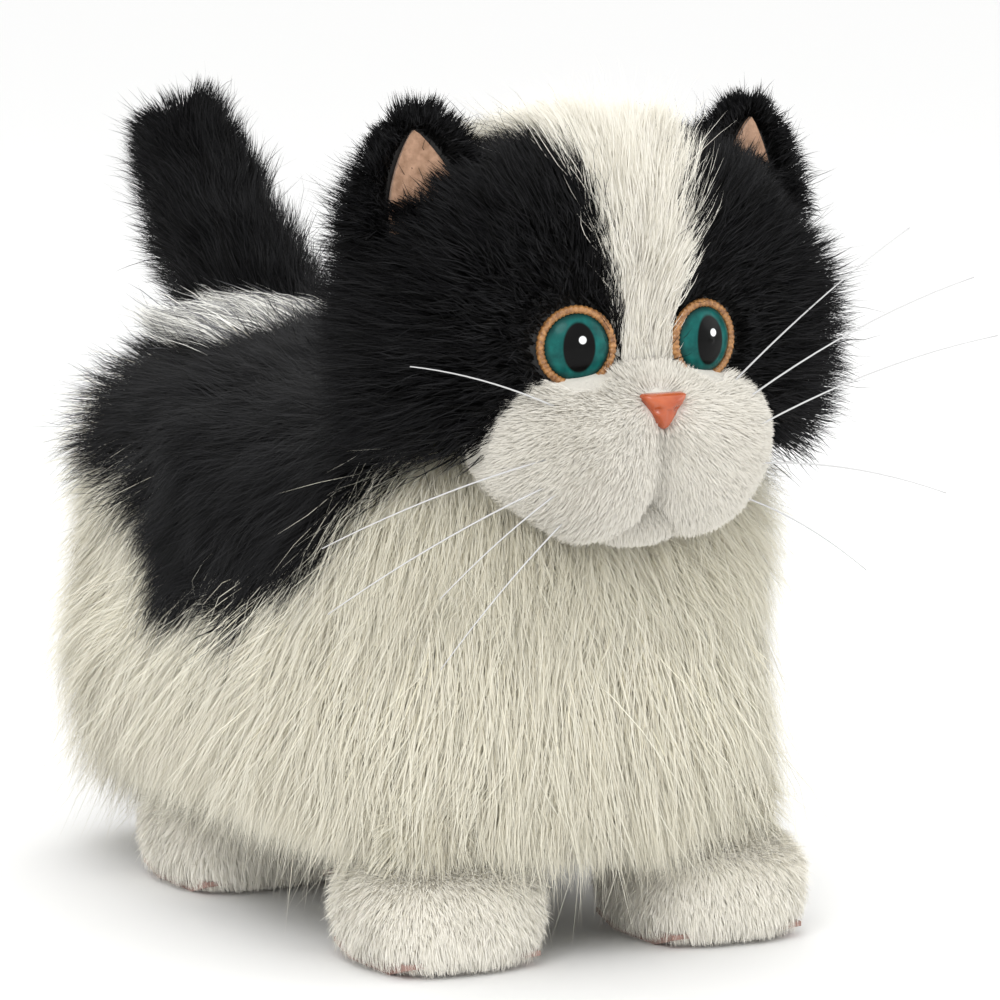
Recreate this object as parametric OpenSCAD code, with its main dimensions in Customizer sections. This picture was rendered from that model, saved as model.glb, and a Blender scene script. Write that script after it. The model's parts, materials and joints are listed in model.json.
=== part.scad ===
// Walking plush kitten: a motor chassis with four swinging legs, a turning head with an
// opening jaw, a wagging tail, and a long fur coat over all of it.
// Frame: +Z up, floor at z = 0, the kitten faces -Y and its left side is +X.

/* [Stance] */
// Height of the hip axes and the crank axis above the floor
hip_z = 84; // [82:1:85]
// Distance of each foot's centre from the middle plane
leg_x = 38; // [37:1:39]
// Y of the front hip axis
front_hip_y = -87; // [-88:1:-86]
// Y of the rear hip axis
rear_hip_y = 29; // [28:1:30]
// Length of a boot from toe to heel
boot_length = 54; // [50:1:56]
// Width of a boot
boot_width = 52; // [48:1:54]
// Height of a boot's plush foot
boot_height = 26; // [24:1:27]

/* [Chassis] */
// Half of the chassis width
chassis_half_w = 28; // [28:0.5:28.5]
// Y of the chassis front wall
chassis_front_y = -100; // [-102:1:-99]
// Y of the chassis rear wall
chassis_rear_y = 42; // [42:1:43]
// Underside of the chassis
chassis_bottom_z = 64; // [63:1:65]
// Roof of the low front part, under the head
chassis_low_z = 104; // [103:1:105]
// Roof of the high rear part, over the gearbox
chassis_high_z = 132; // [131:1:133]
// Y where the high part begins
chassis_step_y = -46; // [-48:1:-45]
// Shell wall thickness
wall = 2.2; // [1.8:0.1:2.4]

/* [Drive] */
// Gear module
gear_module = 0.6; // [0.6:0.1:0.6]
// Teeth of the three large gears
gear_teeth = 40; // [40:1:40]
// Teeth of the pinion and the two small gears
pinion_teeth = 10; // [10:1:10]
// Tooth thinning on each gear
backlash = 0.09; // [0.06:0.01:0.12]
// Distance of the lever pins from their hip axis
lever_arm = 10; // [9.5:0.5:10]
// Distance of the crank pins from the crank axis
crank_throw = 2.1; // [1.8:0.1:2.2]

/* [Head] */
// Y of the neck's turning axis
neck_y = -84; // [-85:1:-83]
// Centre of the skull
skull_centre = [0, -92, 165];
// Radius of the skull's rounded ends
skull_r = 30; // [29:1:31]
// Half of the straight length between the skull's rounded ends
skull_half = 14; // [13:1:15]
// Distance of each eye from the middle plane
eye_x = 17.5; // [17:0.5:18]
// Height of the eyes
eye_z = 157; // [156:1:158]
// Radius of the visible eye
eye_r = 8.2; // [8:0.1:8.4]
// Centre of the muzzle
muzzle_centre = [0, -111, 131];
// Radius of the muzzle
muzzle_r = 21; // [20:1:21]
// Distance of each muzzle end from the middle plane
muzzle_half = 19; // [18:1:20]
// Centre of the chin
chin_centre = [0, -117, 114];
// Radius of the chin
chin_r = 9; // [8:0.5:9]
// Widest opening of the jaw, in degrees
jaw_opening = 12; // [8:1:12]
// Height of an ear from its root to its tip
ear_height = 30; // [28:1:32]
// Width of an ear at its root
ear_width = 28; // [26:1:30]

/* [Tail] */
// Y of the tail's turning axis
tail_y = 56; // [55:1:57]
// Tip of the tail's core
tail_tip = [0, 122, 193];
// How far the tail turns to either side, in degrees
tail_swing = 20; // [10:5:20]

/* [Hidden] */
$fn = 48;
soft_fn = 28;
clearance = 0.3;
plush_gap = 0.8;
eps = 0.01;

// Chassis
corner_r = 8;
shell_screw_at = [[-94, 71], [-50, 70], [-6, 70], [-40, 124], [36, 124]];
shell_boss_r = 4;
screw_r = 1.25;
screw_head_r = 2.8;
speaker_at = [0, -70];
speaker_r = 14;
button_y = -10;
button_r = 7;
switch_y = 15;
neck_r = 6;
pedestal_r = 12;
pedestal_top = 123;

// Hips, levers and rods: radii and their stations along X
hip_shaft_r = 3;
running_gap = 0.06;
lever_x = [20.2, 23.2];
rod_x = [16.5, 19.5];
disc_x = [11, 14.5];
lever_pin_r = 1.5;
rod_hole_r = 1.95;
rod_width = 7;
crank_pin_r = 1.6;
yoke_outer = [21, 17];
yoke_window = [13.6, 9.6];

// Gear axes in the [y, z] plane, each one a mesh distance from the last
mesh_distance = gear_module * (gear_teeth + pinion_teeth) / 2;
second_direction = 60;
first_direction = 20;
motor_direction = 20;
crank_at = [(front_hip_y + rear_hip_y) / 2, hip_z];
second_at = polar(crank_at, mesh_distance, second_direction);
first_at = polar(second_at, mesh_distance, first_direction);
motor_at = polar(first_at, mesh_distance, motor_direction);
axle_r = 1.5;
crankshaft_r = 2;
motor_r = 10;
motor_x = [6.4, 25.4];
plate_x = [[-10.6, -9.1], [4.9, 6.4]];
pressure_angle = 25;
addendum = 0.8;
dedendum = 1.2;
flank_steps = 3;

// Battery box under the belly
cell_r = 7.25;
cell_length = 50;
cell_pitch = 15;
box_y = [-57, -1];
box_half_w = 25;
box_bottom_z = 46;
box_wall = 1.5;
door_t = 2;
door_tab = [12, 9];
door_screw_y = 4;

// Legs
leg_frame_x = [leg_x - 5, leg_x + 5];
leg_bar_w = 12;
ankle_z = 10;
foot_plate = [24, 32, 4];
sole_t = 4;
sole_flat = 22;
sleeve_r = 12;
sleeve_top = 58;

// Coat
skirt_bottom = 36;
padding_x = [chassis_half_w + clearance, 46];
head_sweep_r = 69.5;
head_sweep_at = [0, neck_y, 160];
nape_y = -41;
// The high part of the coat's hollow starts this far ahead of the chassis step
nape_gap = 9;
saddle_from = [-46, 82];
tail_room_r = 22;
tail_fur_r = 17;
tail_fur_start = [0, 20, 138];

// Jaw pivot in the [y, z] plane
jaw_at = [-98, 128];
jaw_pin_r = 1.5;
jaw_arm_x = [9, 12.5];
jaw_lug_x = [14, 17];
jaw_room_half = 17.5;
jaw_room_low = [-121, 100];
jaw_room_size = [31, 38];
chin_half = 14;

// Whiskers, one row each: root along the muzzle, root height, rise, sweep back, length
whisker_r = 0.4;
whiskers_per_side = [
    [20, 143, 16, 0, 62],
    [22, 137, 2, 6, 78],
    [24, 131, -12, 8, 82],
    [21, 126, -28, 4, 66],
    [18, 120, -42, 0, 58]
];

// Tail
tail_root = [0, tail_y, 114];
tail_core_r = 3;
tail_hub_z = [107.5, 120.5];

// ---------- helpers ----------

function polar(from, distance, angle) = from + distance * [cos(angle), sin(angle)];
function side_sign(side) = side == "left" ? 1 : -1;
function hip_y(end) = end == "front" ? front_hip_y : rear_hip_y;
// The front levers stand up and the rear ones hang down, so one rod swings them opposite ways
function lever_pin_at(end) = [hip_y(end), hip_z + (end == "front" ? lever_arm : -lever_arm)];

// Extrudes an outline drawn in the [y, z] plane from x0 to x1
module slab(x0, x1) {
    translate([x0, 0, 0]) rotate([90, 0, 90]) linear_extrude(x1 - x0) children();
}

module mirrored_slab(side, x) {
    if (side == "left") slab(x[0], x[1]) children();
    else slab(-x[1], -x[0]) children();
}

module disc(at, r) {
    translate(at) circle(r);
}

module web(from, to, width) {
    step = to - from;
    translate(from) rotate(atan2(step[1], step[0])) translate([0, -width / 2])
        square([norm(step), width]);
}

module bar(from, to, width) {
    disc(from, width / 2);
    disc(to, width / 2);
    web(from, to, width);
}

module rounded_rect(low, high, r) {
    size = high - low;
    translate(low + [r, 0]) square([size[0] - 2 * r, size[1]]);
    translate(low + [0, r]) square([size[0], size[1] - 2 * r]);
    for (y = [low[0] + r, high[0] - r], z = [low[1] + r, high[1] - r]) disc([y, z], r);
}

module box(low, high) {
    translate(low) cube(high - low);
}

// A bar with round ends along X
module capsule(centre, half, r) {
    translate(centre) rotate([0, 90, 0]) rotate_extrude() intersection() {
        union() {
            for (s = [-1, 1]) translate([0, s * half]) circle(r);
            translate([-r, -half]) square([2 * r, 2 * half]);
        }
        translate([0, -half - r]) square([r, 2 * (half + r)]);
    }
}

module rod(from, to, r) {
    step = to - from;
    translate(from) rotate([0, acos(step[2] / norm(step)), atan2(step[1], step[0])])
        cylinder(h = norm(step), r = r);
}

module half_space(side) {
    translate([side_sign(side) * 100, 0, 100]) cube([200, 400, 300], center = true);
}

module both_sides() {
    children();
    mirror([1, 0, 0]) children();
}

// ---------- chassis ----------

module chassis_outline(inset) {
    low = [chassis_front_y + inset, chassis_bottom_z + inset];
    rear = chassis_rear_y - inset;
    r = corner_r - inset;
    rounded_rect(low, [rear, chassis_low_z - inset], r);
    rounded_rect([chassis_step_y + inset, low[1]], [rear, chassis_high_z - inset], r);
}

module chassis_shell(side) {
    inner = chassis_half_w - wall;
    intersection() {
        half_space(side);
        difference() {
            union() {
                difference() {
                    slab(-chassis_half_w, chassis_half_w) chassis_outline(0);
                    slab(-inner, inner) chassis_outline(wall);
                }
                slab(-inner - eps, inner + eps)
                    for (at = shell_screw_at) disc(at, shell_boss_r);
                translate([0, neck_y, chassis_low_z - wall])
                    cylinder(h = pedestal_top - chassis_low_z + wall, r = pedestal_r);
            }
            slab(-chassis_half_w - 1, chassis_half_w + 1)
                for (end = ["front", "rear"])
                    disc([hip_y(end), hip_z], hip_shaft_r + running_gap);
            for (at = shell_screw_at) shell_screw_hole(at);
            translate([0, neck_y, chassis_low_z - wall - 1])
                cylinder(h = pedestal_top, r = neck_r + running_gap);
            translate([0, button_y, chassis_high_z - wall - 1])
                cylinder(h = wall + 2, r = button_r + clearance);
            box([-3.3, switch_y - 3.5, chassis_bottom_z - 1],
                [3.3, switch_y + 7.5, chassis_bottom_z + wall + 1]);
            speaker_grille();
        }
    }
}

module shell_screw_hole(at) {
    slab(-chassis_half_w - 1, 0) disc(at, screw_r + 0.35);
    slab(-1, 15) disc(at, screw_r);
    slab(-chassis_half_w - 1, -chassis_half_w + 2.6) disc(at, screw_head_r + 0.2);
}

module speaker_grille() {
    for (i = [-2:2])
        translate([speaker_at[0] + i * 4 + 0.5, speaker_at[1], chassis_bottom_z])
            cube([1.8, 15, 3 * wall], center = true);
}

module chassis_shell_left() {
    color("dimgray") chassis_shell("left");
}

module chassis_shell_right() {
    color("dimgray") chassis_shell("right");
}

module shell_screws() {
    head_x = -chassis_half_w + 2.6;
    color("silver") for (at = shell_screw_at) {
        slab(head_x - 1.8, head_x) disc(at, screw_head_r);
        slab(head_x, 14) disc(at, screw_r);
    }
}

module speaker() {
    z = chassis_bottom_z + wall;
    color("black") translate([speaker_at[0], speaker_at[1], z]) {
        difference() {
            cylinder(h = 4, r = speaker_r);
            translate([0, 0, -1]) cylinder(h = 3, r1 = speaker_r - 3, r2 = 5);
        }
        translate([0, 0, 4]) cylinder(h = 4.5, r = 7.5);
    }
}

module circuit_board() {
    y = chassis_rear_y - wall - 3.2;
    z = chassis_bottom_z + wall;
    color("darkgreen") box([-20, y, z + 4], [20, y + 1.6, z + 50]);
    color("black") {
        box([-12, y - 1.6, z + 8], [-2, y, z + 18]);
        box([3, y - 1.4, z + 10], [9, y, z + 16]);
        box([-8, y - 3, z + 34], [8, y, z + 40]);
    }
}

module touch_button() {
    color("gray") translate([0, button_y, 0]) {
        translate([0, 0, chassis_high_z - wall - 1.5]) cylinder(h = wall + 4.5, r = button_r);
        translate([0, 0, chassis_high_z - wall - 3.7]) cylinder(h = 2.2, r = button_r + 2);
    }
}

module power_switch() {
    z = chassis_bottom_z;
    color("red") {
        box([-3, switch_y - 3, z - 4], [3, switch_y + 3, z + wall + 0.4]);
        box([-5, switch_y - 5, z + wall + 0.2], [5, switch_y + 5, z + wall + 2]);
    }
}

// ---------- batteries ----------

module battery_box() {
    top = chassis_bottom_z;
    color("dimgray") difference() {
        union() {
            box([-box_half_w, box_y[0], box_bottom_z], [box_half_w, box_y[1], top]);
            box([-door_tab[0] / 2, box_y[1] - eps, box_bottom_z],
                [door_tab[0] / 2, box_y[1] + door_tab[1], top]);
        }
        box([-box_half_w + box_wall, box_y[0] + box_wall, box_bottom_z - 1],
            [box_half_w - box_wall, box_y[1] - box_wall, top - box_wall]);
        translate([0, door_screw_y, box_bottom_z - 1]) cylinder(h = 11, r = screw_r + 0.1);
    }
}

module battery_cells() {
    middle = (box_y[0] + box_y[1]) / 2;
    z = box_bottom_z + cell_r + 1.2;
    for (i = [-1:1]) {
        turn = i == 0 ? 180 : 0;
        translate([i * cell_pitch, middle, z]) rotate([0, 0, turn]) rotate([90, 0, 0]) {
            color("goldenrod") translate([0, 0, -cell_length / 2])
                cylinder(h = cell_length - 1.5, r = cell_r);
            color("silver") translate([0, 0, cell_length / 2 - 1.5]) cylinder(h = 1.5, r = 2.7);
        }
    }
}

module battery_contacts() {
    z = box_bottom_z + cell_r + 1.2;
    plate_t = 0.5;
    ends = [box_y[0] + box_wall, box_y[1] - box_wall - plate_t];
    gap = (box_y[1] - box_y[0] - cell_length) / 2 - box_wall - plate_t;
    color("silver") for (i = [-1:1]) {
        for (y = ends) box([i * cell_pitch - 5, y, z - 5], [i * cell_pitch + 5, y + plate_t, z + 5]);
        translate([i * cell_pitch, ends[0] + plate_t, z]) rotate([-90, 0, 0])
            cylinder(h = gap, r1 = 4, r2 = 2.5);
        translate([i * cell_pitch, ends[1], z]) rotate([90, 0, 0])
            cylinder(h = gap, r1 = 4, r2 = 2.5);
    }
}

module battery_door() {
    z = box_bottom_z - door_t;
    color("gray") difference() {
        union() {
            box([-box_half_w, box_y[0], z], [box_half_w, box_y[1], box_bottom_z]);
            box([-door_tab[0] / 2, box_y[1] - eps, z],
                [door_tab[0] / 2, box_y[1] + door_tab[1], box_bottom_z]);
        }
        translate([0, door_screw_y, z - 1]) cylinder(h = door_t + 2, r = screw_r + 0.15);
        translate([0, door_screw_y, z - 1]) cylinder(h = 2.2, r = screw_head_r + 0.2);
        for (i = [-3:3]) box([-8, -50 + i * 1.6, z - 1], [8, -49.2 + i * 1.6, z + 0.6]);
    }
}

module door_screw() {
    z = box_bottom_z - door_t + 0.1;
    color("silver") translate([0, door_screw_y, z]) {
        cylinder(h = 1.1, r = screw_head_r);
        cylinder(h = 10, r = screw_r);
    }
}

// ---------- drive ----------

function involute(base_r, r) = let (a = acos(base_r / r)) tan(a) * 180 / PI - a;

function half_tooth(teeth, r) =
    let (pitch_r = gear_module * teeth / 2, base_r = pitch_r * cos(pressure_angle))
    90 / teeth - backlash / pitch_r * 90 / PI
    + involute(base_r, pitch_r) - involute(base_r, max(r, base_r));

function flank_radii(teeth) =
    let (pitch_r = gear_module * teeth / 2,
         base_r = pitch_r * cos(pressure_angle),
         root_r = pitch_r - dedendum * gear_module,
         tip_r = pitch_r + addendum * gear_module,
         start_r = max(base_r, root_r))
    concat(root_r < base_r ? [root_r] : [],
           [for (i = [0:flank_steps]) start_r + (tip_r - start_r) * i / flank_steps]);

module gear_outline(teeth, turn) {
    radii = flank_radii(teeth);
    last = len(radii) - 1;
    points = [for (tooth = [0:teeth - 1], i = [0:2 * last + 1])
        let (rising = i <= last,
             r = radii[rising ? i : 2 * last + 1 - i],
             a = turn + tooth * 360 / teeth + (rising ? -1 : 1) * half_tooth(teeth, r))
        r * [cos(a), sin(a)]];
    polygon(points);
}

// Turn that puts a small gear's gap against a tooth of the large gear it meets in this direction
function mesh_turn(direction) =
    direction + 180 + direction * gear_teeth / pinion_teeth - 180 / pinion_teeth;

module gear(at, x0, x1, teeth, turn) {
    slab(x0, x1) translate(at) gear_outline(teeth, turn);
}

module drill(at, r) {
    difference() {
        children();
        slab(-40, 40) disc(at, r);
    }
}

module gear_pair(at, small_x, big_x, direction) {
    drill(at, axle_r + running_gap) {
        gear(at, small_x[0], small_x[1], pinion_teeth, mesh_turn(direction));
        gear(at, big_x[0], big_x[1], gear_teeth, 0);
    }
}

module crank_gear() {
    color("white") drill(crank_at, crankshaft_r) {
        gear(crank_at, -8.5, -4.5, gear_teeth, 0);
        slab(-4.5, -3.4) disc(crank_at, 5);
    }
}

module second_gear() {
    color("ivory") gear_pair(second_at, [-8.9, -3], [-3, 0], second_direction);
}

module first_gear() {
    color("white") gear_pair(first_at, [-3.4, 1.2], [1.2, 4.2], first_direction);
}

module motor_pinion() {
    color("gold") {
        gear(motor_at, 0.8, 4.6, pinion_teeth, mesh_turn(motor_direction));
        slab(4.6, 12) disc(motor_at, 1);
    }
}

module crankshaft() {
    color("silver") slab(-disc_x[1], disc_x[1]) disc(crank_at, crankshaft_r);
}

module crank_discs() {
    color("orange") for (side = ["left", "right"]) {
        pin_at = crank_at + [side_sign(side) * crank_throw, 0];
        drill(crank_at, crankshaft_r) mirrored_slab(side, disc_x) disc(crank_at, 8);
        mirrored_slab(side, [disc_x[1], rod_x[1] + 0.5]) disc(pin_at, crank_pin_r);
    }
}

module gearbox_plates() {
    color("darkslategray") {
        gearbox_plate(plate_x[0], [second_at, first_at]);
        gearbox_plate(plate_x[1], [second_at, first_at, motor_at]);
    }
}

module gearbox_plate(x, axes) {
    foot = [second_at[0], chassis_bottom_z + wall];
    difference() {
        slab(x[0], x[1]) {
            for (at = concat([crank_at], axes)) disc(at, 7.5);
            web(crank_at, second_at, 11);
            for (i = [1:len(axes) - 1]) web(axes[i - 1], axes[i], 11);
            translate(foot - [3.5, 0])
                square([7, chassis_high_z - chassis_bottom_z - 2 * wall]);
        }
        slab(x[0] - 1, x[1] + 1) {
            disc(crank_at, crankshaft_r + running_gap);
            disc(second_at, axle_r);
            disc(first_at, axle_r);
            disc(motor_at, 3);
        }
    }
}

module gear_axles() {
    color("silver") slab(plate_x[0][0], plate_x[1][1]) {
        disc(second_at, axle_r);
        disc(first_at, axle_r);
    }
}

module motor() {
    color("silver") difference() {
        union() {
            slab(motor_x[0], motor_x[1]) disc(motor_at, motor_r);
            slab(plate_x[1][0], motor_x[0]) disc(motor_at, 3);
        }
        slab(4, 12.5) disc(motor_at, 1 + running_gap);
    }
}

module link_rod(side) {
    front = lever_pin_at("front");
    rear = lever_pin_at("rear");
    color("khaki") difference() {
        mirrored_slab(side, rod_x) {
            bar(front, rear, rod_width);
            translate(crank_at - yoke_outer / 2) square(yoke_outer);
            disc(front, 4.2);
            disc(rear, 4.2);
        }
        slab(-40, 40) {
            disc(front, rod_hole_r);
            disc(rear, rod_hole_r);
            translate(crank_at - yoke_window / 2) square(yoke_window);
        }
    }
}

module link_rod_left() {
    link_rod("left");
}

module link_rod_right() {
    link_rod("right");
}

// ---------- legs ----------

module leg_frame_solid(side, end) {
    hip = [hip_y(end), hip_z];
    plate_low = [side_sign(side) * leg_x - foot_plate[0] / 2, hip[0] - foot_plate[1] / 2, sole_t];
    mirrored_slab(side, [lever_x[0], 30]) disc(hip, hip_shaft_r);
    mirrored_slab(side, [29, leg_frame_x[1]]) disc(hip, 9);
    mirrored_slab(side, leg_frame_x) bar(hip, [hip[0], ankle_z], leg_bar_w);
    box(plate_low, plate_low + foot_plate);
}

module leg_frame(side, end) {
    color("lightgray") leg_frame_solid(side, end);
}

module drive_lever(side, end) {
    hip = [hip_y(end), hip_z];
    pin_at = lever_pin_at(end);
    color("steelblue") {
        drill(hip, hip_shaft_r) mirrored_slab(side, lever_x) {
            disc(hip, 6);
            bar(hip, pin_at, 6);
        }
        mirrored_slab(side, [rod_x[0] - 0.5, lever_x[0]]) disc(pin_at, lever_pin_r);
    }
}

module boot(side, end) {
    ball = boot_height / 2;
    color("white") difference() {
        union() {
            translate([side_sign(side) * leg_x, hip_y(end), sole_t + ball]) hull()
                for (sx = [-1, 1], sy = [-1, 1])
                    translate([sx * (boot_width / 2 - ball), sy * (boot_length / 2 - ball), 0])
                        sphere(ball, $fn = soft_fn);
            translate([side_sign(side) * leg_x, hip_y(end), sole_t + ball])
                cylinder(h = sleeve_top - sole_t - ball, r = sleeve_r);
        }
        leg_frame_solid(side, end);
    }
}

// Flat in the middle, rising to toe and heel so that it can roll as the leg swings
module sole(side, end) {
    centre = side_sign(side) * leg_x;
    half = boot_length / 2 - 7;
    half_w = boot_width / 2 - 7;
    color("rosybrown") slab(centre - half_w, centre + half_w) translate([hip_y(end), 0])
        polygon([[-sole_flat / 2, 0], [sole_flat / 2, 0], [half, sole_t - 1.2], [half, sole_t],
                 [-half, sole_t], [-half, sole_t - 1.2]]);
}

module leg_frame_front_left() { leg_frame("left", "front"); }
module leg_frame_front_right() { leg_frame("right", "front"); }
module leg_frame_rear_left() { leg_frame("left", "rear"); }
module leg_frame_rear_right() { leg_frame("right", "rear"); }
module drive_lever_front_left() { drive_lever("left", "front"); }
module drive_lever_front_right() { drive_lever("right", "front"); }
module drive_lever_rear_left() { drive_lever("left", "rear"); }
module drive_lever_rear_right() { drive_lever("right", "rear"); }
module boot_front_left() { boot("left", "front"); }
module boot_front_right() { boot("right", "front"); }
module boot_rear_left() { boot("left", "rear"); }
module boot_rear_right() { boot("right", "rear"); }
module sole_front_left() { sole("left", "front"); }
module sole_front_right() { sole("right", "front"); }
module sole_rear_left() { sole("left", "rear"); }
module sole_rear_right() { sole("right", "rear"); }

// ---------- coat ----------

module padding_blocks() {
    both_sides() box([padding_x[0], -55, 50], [padding_x[1], -3, 118]);
    box([-24, chassis_rear_y + clearance, 62], [24, 68, 98]);
}

module body_padding() {
    color("khaki") padding_blocks();
}

module coat_outer() {
    hull() both_sides() {
        translate([24, -70, 108]) sphere(38, $fn = soft_fn);
        translate([24, 46, 104]) sphere(38, $fn = soft_fn);
        translate([53, -88, skirt_bottom + 13]) sphere(13, $fn = soft_fn);
        translate([53, 78, skirt_bottom + 14]) sphere(14, $fn = soft_fn);
    }
}

module coat_cavity() {
    cavity_half = chassis_half_w + clearance;
    box([-cavity_half, chassis_front_y - clearance, 0],
        [cavity_half, chassis_rear_y + clearance, chassis_low_z + clearance]);
    box([-cavity_half, chassis_step_y - nape_gap, 0],
        [cavity_half, chassis_rear_y + clearance, chassis_high_z + clearance]);
    translate([0, button_y, chassis_high_z]) cylinder(h = 4, r = button_r + 2);
    both_sides() for (end = ["front", "rear"]) {
        box([22, hip_y(end) - 30, 0], [leg_x + 16, hip_y(end) + 30, sleeve_top + 4]);
        box([22, hip_y(end) - 14, 0], [leg_x + 8, hip_y(end) + 14, hip_z + 11]);
    }
    padding_blocks();
    head_space();
    tail_space();
}

// Room for the head at both ends of its turn, no further back than the nape reaches
module head_space() {
    intersection() {
        translate(head_sweep_at) sphere(head_sweep_r);
        box([-90, -180, 80], [90, nape_y, 240]);
    }
}

module tail_space() {
    translate([0, tail_y, 100]) cylinder(h = 60, r = tail_room_r);
    box([-14, chassis_rear_y, 100], [14, tail_y, 130]);
    for (a = [-tail_swing:tail_swing / 2:tail_swing])
        translate([0, tail_y, 0]) rotate([0, 0, a]) translate(tail_fur_start) sphere(tail_fur_r);
}

module saddle_region() {
    box([-90, saddle_from[0], saddle_from[1]], [90, 120, 170]);
}

module body_coat() {
    color("ivory") difference() {
        coat_outer();
        coat_cavity();
        saddle_region();
    }
}

module saddle_coat() {
    color([0.12, 0.12, 0.13]) difference() {
        intersection() {
            coat_outer();
            saddle_region();
        }
        coat_cavity();
    }
}

// ---------- head ----------

module skull(grow) {
    capsule(skull_centre, skull_half, skull_r + grow);
}

// Room round the pedestal under the head
module neck_room() {
    translate([0, neck_y, 90]) cylinder(h = 60, r = pedestal_r + 2.5);
}

module neck_post() {
    color("lightgray") translate([0, neck_y, 0]) {
        translate([0, 0, 97]) cylinder(h = 3.4, r = 8.5);
        translate([0, 0, 97]) cylinder(h = 50, r = neck_r);
        translate([0, 0, pedestal_top + 0.5]) cylinder(h = 10, r = 9);
    }
}

module head_shell(rear) {
    y = skull_centre[1];
    difference() {
        intersection() {
            skull(0);
            translate([0, y + (rear ? 50 : -50), skull_centre[2]]) cube(100, center = true);
        }
        skull(-2);
        translate([0, neck_y, 90]) cylinder(h = 60, r = neck_r);
    }
}

module head_shell_front() {
    color("lightgray") {
        head_shell(false);
        for (side = ["left", "right"]) drill(jaw_at, jaw_pin_r) mirrored_slab(side, jaw_lug_x)
            bar(jaw_at, jaw_at + [0, 8], 8);
    }
}

module head_shell_rear() {
    color("lightgray") head_shell(true);
}

module eye_place(s) {
    translate([s * eye_x, 0, eye_z]) rotate([90, 0, 0]) children();
}

module eyes() {
    color("darkcyan") for (s = [-1, 1]) difference() {
        intersection() {
            translate([s * eye_x, -115.2, eye_z]) sphere(9.4);
            eye_place(s) translate([0, 0, 112]) cylinder(h = 20, r = eye_r);
        }
        skull(0);
    }
}

module eye_rims() {
    color("peru") for (s = [-1, 1]) difference() {
        eye_place(s) rotate_extrude() {
            translate([eye_r, 112]) square([2.4, 9.4]);
            translate([eye_r + 1.2, 121.4]) circle(1.2);
        }
        skull(0);
    }
}

module eye_holes() {
    for (s = [-1, 1]) eye_place(s) translate([0, 0, 100]) cylinder(h = 40, r = eye_r + 2.4);
}

module nose_block(grow) {
    rotate([90, 0, 0]) linear_extrude(9 + grow) polygon([[-5.6, 2], [-4.4, 3.6], [4.4, 3.6],
        [5.6, 2], [1.2, -4.6], [-1.2, -4.6]]);
}

module nose() {
    color("chocolate") translate([0, -127, 142]) nose_block(0);
}

// Room for the jaw frame, and for the chin's whole travel round its place at half opening
module jaw_space() {
    lever = norm([chin_centre[1], chin_centre[2]] - jaw_at);
    travel = lever * sin(jaw_opening / 2);
    slab(-jaw_room_half, jaw_room_half) translate(jaw_room_low) square(jaw_room_size);
    translate([0, jaw_at[0], jaw_at[1]]) rotate([jaw_opening / 2, 0, 0])
        translate([0, -jaw_at[0], -jaw_at[1]])
            capsule(chin_centre, chin_half, chin_r + travel + plush_gap);
}

module ear_blank(width, height, depth) {
    arc_r = width * 0.9;
    linear_extrude(depth) intersection() {
        translate([width / 2 - arc_r, 0]) circle(arc_r);
        translate([arc_r - width / 2, 0]) circle(arc_r);
        translate([-width / 2, -4]) square([width, height + 4]);
    }
}

module ear_place() {
    translate([44, -87, 186]) rotate([0, 8, 14]) rotate([90, 0, 0]) children();
}

module ear_shells() {
    color([0.1, 0.1, 0.1]) both_sides() difference() {
        ear_place() ear_blank(ear_width, ear_height, 6);
        skull(0);
    }
}

module ear_linings() {
    color("tan") both_sides() difference() {
        ear_place() translate([0, 0, 6]) ear_blank(ear_width - 11, ear_height - 5, 1.5);
        skull(0);
    }
}

module head_coat() {
    color([0.12, 0.12, 0.13]) difference() {
        hull() both_sides() {
            translate([24, -87, 160]) sphere(36, $fn = soft_fn);
            translate([10, -86, 185]) sphere(32, $fn = soft_fn);
            translate([12, -88, 139]) sphere(28, $fn = soft_fn);
        }
        skull(0);
        capsule(muzzle_centre, muzzle_half, muzzle_r);
        eye_holes();
        jaw_space();
        neck_room();
        both_sides() ear_place() ear_blank(ear_width, ear_height, 30);
    }
}

module muzzle_coat() {
    color("white") difference() {
        capsule(muzzle_centre, muzzle_half, muzzle_r);
        skull(0);
        eye_holes();
        jaw_space();
        translate([0, -127, 142]) nose_block(10);
        neck_room();
    }
}

module whiskers() {
    color("white") both_sides() for (w = whiskers_per_side) {
        up = w[1] - muzzle_centre[2];
        root = [w[0], muzzle_centre[1] - sqrt(pow(muzzle_r - 2, 2) - up * up), w[1]];
        along = [cos(w[2]) * cos(w[3]), cos(w[2]) * sin(w[3]), sin(w[2])];
        rod(root, root + w[4] * along, whisker_r);
    }
}

module jaw_pin() {
    color("silver") slab(-jaw_lug_x[1], jaw_lug_x[1]) disc(jaw_at, jaw_pin_r);
}

module jaw_spring() {
    color("silver") drill(jaw_at, jaw_pin_r + 0.2) slab(-6, 6) disc(jaw_at, 2.6);
}

module jaw_frame_solid() {
    chin_at = [chin_centre[1], chin_centre[2]];
    for (side = ["left", "right"]) mirrored_slab(side, jaw_arm_x) {
        disc(jaw_at, 4);
        bar(jaw_at, chin_at, 6);
    }
    slab(-jaw_arm_x[1], jaw_arm_x[1]) disc(chin_at, 4);
}

module jaw_frame() {
    color("lightgray") drill(jaw_at, jaw_pin_r + running_gap) jaw_frame_solid();
}

module chin_coat() {
    color("white") difference() {
        capsule(chin_centre, chin_half, chin_r);
        jaw_frame_solid();
    }
}

// ---------- tail ----------

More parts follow.
